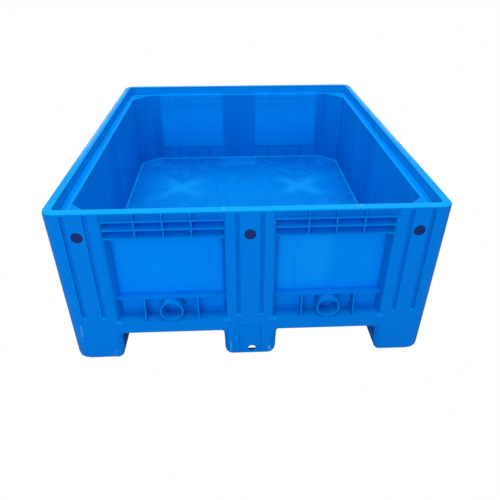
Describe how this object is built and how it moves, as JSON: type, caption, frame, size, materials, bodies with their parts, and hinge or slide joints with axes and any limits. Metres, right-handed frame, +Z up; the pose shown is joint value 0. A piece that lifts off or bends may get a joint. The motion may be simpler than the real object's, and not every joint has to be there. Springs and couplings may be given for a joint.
{
  "type": "pallet box",
  "caption": "Blue moulded-plastic pallet box: solid-walled open tub with a lid seat, ribbed post-and-panel sides, drain bosses and hollow feet for four-way fork entry.",
  "frame": {"origin": "on the ground under the middle of the box", "axes": "+Z up, +Y from the front face with the plugs to the back along the longer side, +X to the right"},
  "size_m": [1, 1.2, 0.47],
  "materials": {
    "blue_plastic": "satin",
    "dark_plastic": "matte"
  },
  "bodies": {
    "root": {"box_body": "blue_plastic", "plug_front_left": "dark_plastic", "plug_front_centre": "dark_plastic", "plug_front_right": "dark_plastic"}
  },
  "joints": []
}
